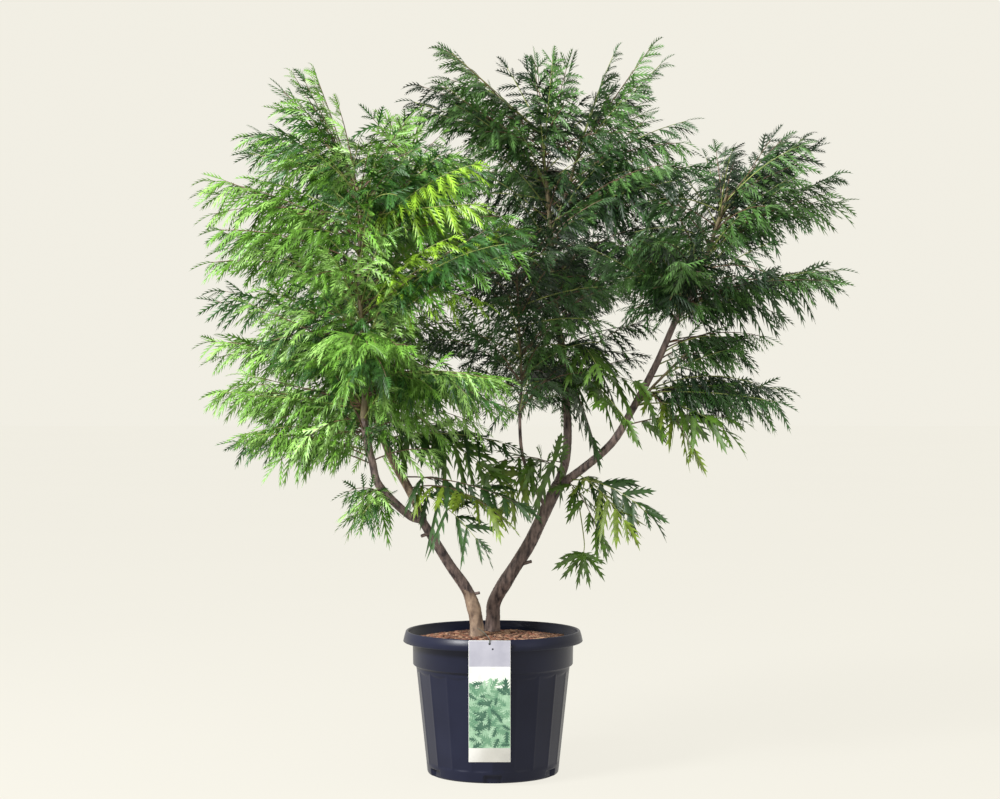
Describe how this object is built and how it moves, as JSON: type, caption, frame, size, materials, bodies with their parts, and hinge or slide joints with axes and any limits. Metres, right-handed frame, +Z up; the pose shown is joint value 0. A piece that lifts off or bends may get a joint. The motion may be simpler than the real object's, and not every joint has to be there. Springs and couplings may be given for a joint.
{
  "type": "cutleaf staghorn sumac",
  "caption": "Potted cutleaf sumac shrub: leaning stems, boughs and separate feathery leaf masses in a round nursery pot of bark, with a plain hanging label.",
  "frame": {"origin": "middle of the pot's flat underside", "axes": "+Z up, +X to the viewer's right, +Y away from the viewer; the label hangs on the -Y side"},
  "size_m": [1.503, 1.11, 1.735],
  "materials": {
    "pot": "satin blue-black moulded plastic with shallow upright flutes",
    "bark_mulch": "loose reddish-brown bark chips, matte",
    "label": "smooth plastic card, a grey-lilac head over a green leafy panel",
    "wire": "thin dark coated wire",
    "bark": "purple-grey brown bark, tan where it is young, with pale raised pores",
    "leaf_rib": "smooth leaf stalk, green to brown-purple",
    "leaf_bright": "bright green finely cut leaflets, soft sheen",
    "leaf_yellow": "yellow-green young leaflets, soft sheen",
    "leaf_dark": "dark green finely cut leaflets, soft sheen",
    "leaf_olive": "olive green broad-toothed leaflets, soft sheen"
  },
  "bodies": {
    "root": {"crest_far_left": "leaf_dark", "crest_left": "leaf_dark", "crest_middle": "leaf_dark", "crest_right": "leaf_dark", "front_dome": "leaf_yellow", "hanging_leaf": "leaf_olive", "high_left_bough": "bark", "high_right_spray": "leaf_dark", "inner_right_spray": "leaf_dark", "leaf_stalk": "leaf_rib", "left_crest": "leaf_bright", "left_flat_spray": "leaf_bright", "left_front_low_spray": "leaf_bright", "left_front_spray": "leaf_bright", "left_hanging_spray": "leaf_bright", "left_heart_high": "leaf_bright", "left_heart_low": "leaf_bright", "left_high_spray": "leaf_bright", "left_inner_leaf": "leaf_olive", "left_low_spray": "leaf_bright", "left_lower_spray": "leaf_bright", "left_lowest_spray": "leaf_bright", "left_middle_spray": "leaf_bright", "left_rear_heart": "leaf_bright", "left_rear_high_spray": "leaf_bright", "left_rear_low_spray": "leaf_bright", "left_rear_spray": "leaf_bright", "left_stem": "bark", "left_top_spray": "leaf_bright", "low_front_leaf": "leaf_olive", "low_left_bough": "bark", "low_middle_leaf": "leaf_olive", "low_right_leaf": "leaf_olive", "middle_heart": "leaf_dark", "olive_leaves": "leaf_olive", "pale_shoot": "leaf_bright", "pot": "pot", "reaching_front_spray": "leaf_yellow", "rear_high_spray": "leaf_dark", "rear_low_spray": "leaf_dark", "rear_spray": "leaf_dark", "right_crest": "leaf_dark", "right_front_spray": "leaf_dark", "right_high_spray": "leaf_dark", "right_level_spray": "leaf_dark", "right_long_spray": "leaf_dark", "right_low_leaf": "leaf_olive", "right_reaching_spray": "leaf_dark", "right_rear_spray": "leaf_dark", "right_short_spray": "leaf_dark", "right_stem": "bark", "side_bough": "bark", "side_heart": "leaf_dark", "slender_stem": "bark", "soil": "bark_mulch", "tag": "label", "tag_wire": "wire", "upright_bough": "bark", "upright_heart_high": "leaf_dark", "upright_heart_low": "leaf_dark"}
  },
  "joints": []
}
